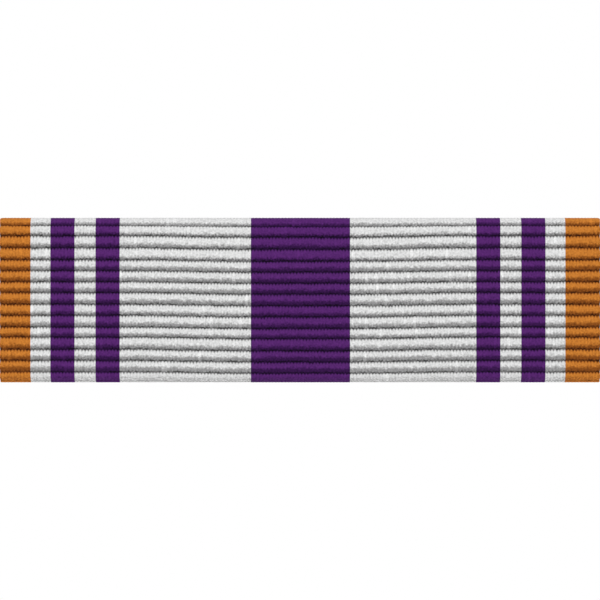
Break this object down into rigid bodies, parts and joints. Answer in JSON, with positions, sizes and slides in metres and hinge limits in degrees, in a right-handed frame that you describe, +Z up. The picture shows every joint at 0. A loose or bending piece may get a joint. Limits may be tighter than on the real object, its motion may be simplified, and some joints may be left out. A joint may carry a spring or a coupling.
{
  "type": "service ribbon bar",
  "caption": "Striped grosgrain ribbon wrapped on a slide-on carrier, on a stamped mount bar with clutch pins and butterfly clutches, worn flat on a uniform.",
  "frame": {"origin": "centre of the mount bar's flat garment face, midway between the two pins", "axes": "+X along the bar to the viewer's right, +Y through the garment along the pins, +Z up as worn; the ribbon faces -Y"},
  "size_m": [0.035, 0.0114, 0.0096],
  "materials": {
    "bar_brass": "stamped brass, satin, lightly tarnished",
    "channel_brass": "rolled brass strip, satin",
    "rivet_brass": "clinched brass, satin",
    "plate_metal": "mill-finish aluminium strip",
    "pin_nickel": "nickel-plated drawn wire",
    "clutch_brass": "pressed brass, bright",
    "wing_brass": "pressed spring brass, bright, worn on the finger edges",
    "spring_steel": "rolled spring steel",
    "ribbon_orange": "corded rayon weave, orange warp",
    "ribbon_white": "corded rayon weave, white warp",
    "ribbon_purple": "corded rayon weave, purple warp"
  },
  "bodies": {
    "mount_bar_with_pins": {"mount_bar": "bar_brass", "pin_left": "pin_nickel", "pin_right": "pin_nickel"},
    "ribbon_unit": {"slide_channel": "channel_brass", "stiffener_plate": "plate_metal", "clinch_rivet_left": "rivet_brass", "clinch_rivet_centre": "rivet_brass", "clinch_rivet_right": "rivet_brass", "ribbon_orange_stripes": "ribbon_orange", "ribbon_white_stripes": "ribbon_white", "ribbon_purple_stripes": "ribbon_purple"},
    "clutch_left": {"clutch_base_left": "clutch_brass"},
    "clutch_left_cap": {"clutch_cap_left": "clutch_brass", "clutch_spring_left": "spring_steel"},
    "wing_left_outer": {"jaw_wing_left_outer": "wing_brass"},
    "wing_left_inner": {"jaw_wing_left_inner": "wing_brass"},
    "clutch_right": {"clutch_base_right": "clutch_brass"},
    "clutch_right_cap": {"clutch_cap_right": "clutch_brass", "clutch_spring_right": "spring_steel"},
    "wing_right_outer": {"jaw_wing_right_outer": "wing_brass"},
    "wing_right_inner": {"jaw_wing_right_inner": "wing_brass"}
  },
  "joints": [
    {"name": "ribbon_slide", "type": "slide", "parent": "mount_bar_with_pins", "child": "ribbon_unit", "axis": [1, 0, 0], "range_m": [-0.035, 0.035]},
    {"name": "clutch_left_slide", "type": "slide", "parent": "mount_bar_with_pins", "child": "clutch_left", "axis": [0, 1, 0], "range_m": [-0.002, 0.008]},
    {"name": "clutch_left_spin", "type": "hinge", "parent": "clutch_left", "child": "clutch_left_cap", "pos_m": [-0.01, 0, 0], "axis": [0, 1, 0], "continuous": true},
    {"name": "wing_left_outer_squeeze", "type": "hinge", "parent": "clutch_left_cap", "child": "wing_left_outer", "pos_m": [-0.01285, 0.0044, 0], "axis": [0, 0, -1], "range_deg": [0, 10], "stiffness_Nm_per_rad": 0.00001, "springref_deg": -17.19, "deforming": ["clutch_spring_left"]},
    {"name": "wing_left_inner_squeeze", "type": "hinge", "parent": "clutch_left_cap", "child": "wing_left_inner", "pos_m": [-0.00715, 0.0044, 0], "axis": [0, 0, 1], "range_deg": [0, 10], "stiffness_Nm_per_rad": 0.00001, "springref_deg": -17.19},
    {"name": "clutch_right_slide", "type": "slide", "parent": "mount_bar_with_pins", "child": "clutch_right", "axis": [0, 1, 0], "range_m": [-0.002, 0.008]},
    {"name": "clutch_right_spin", "type": "hinge", "parent": "clutch_right", "child": "clutch_right_cap", "pos_m": [0.01, 0, 0], "axis": [0, 1, 0], "continuous": true},
    {"name": "wing_right_outer_squeeze", "type": "hinge", "parent": "clutch_right_cap", "child": "wing_right_outer", "pos_m": [0.01285, 0.0044, 0], "axis": [0, 0, 1], "range_deg": [0, 10], "stiffness_Nm_per_rad": 0.00001, "springref_deg": -17.19, "deforming": ["clutch_spring_right"]},
    {"name": "wing_right_inner_squeeze", "type": "hinge", "parent": "clutch_right_cap", "child": "wing_right_inner", "pos_m": [0.00715, 0.0044, 0], "axis": [0, 0, -1], "range_deg": [0, 10], "stiffness_Nm_per_rad": 0.00001, "springref_deg": -17.19}
  ],
  "couplings": [
    {"joint": "wing_left_inner_squeeze", "follows": "wing_left_outer_squeeze", "ratio": 1},
    {"joint": "wing_right_inner_squeeze", "follows": "wing_right_outer_squeeze", "ratio": 1}
  ]
}
